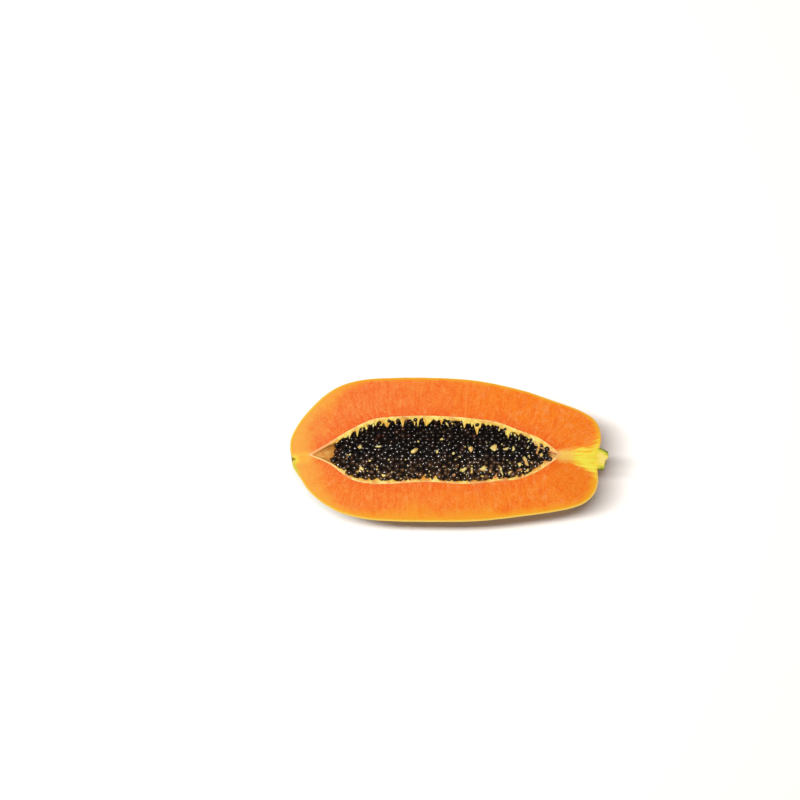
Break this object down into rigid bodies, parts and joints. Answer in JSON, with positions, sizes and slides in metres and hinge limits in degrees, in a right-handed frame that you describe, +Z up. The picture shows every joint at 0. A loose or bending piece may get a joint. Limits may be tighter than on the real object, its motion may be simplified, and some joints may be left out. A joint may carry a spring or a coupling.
{
  "type": "papaya half",
  "caption": "Half of a ripe papaya cut lengthwise, lying on its skin with the cut face up: orange flesh round a pale-lined hollow bedded with black seeds, and a stem stub.",
  "frame": {"origin": "centre of the bounding box in X and Y, at the surface that the half lies on", "axes": "+Z up, square to the level cut face; +X along the fruit towards the stem stub, with the blossom end at -X; +Y towards the fuller of its two sides"},
  "size_m": [0.2671, 0.1217, 0.062],
  "materials": {
    "flesh": "moist, soft sheen, light passes a little way in",
    "skin": "thin waxy skin, ochre and orange with green patches and fine dark freckles",
    "lining": "moist, pale and stringy",
    "seed": "wet gloss over a finely wrinkled black-brown coat",
    "pale_seed": "wet, pale, undeveloped seed and pulp",
    "stem": "dry, fibrous, yellow-green"
  },
  "bodies": {
    "root": {"half_fruit": "flesh", "seed_lining": "lining", "seeds": "seed"}
  },
  "joints": []
}
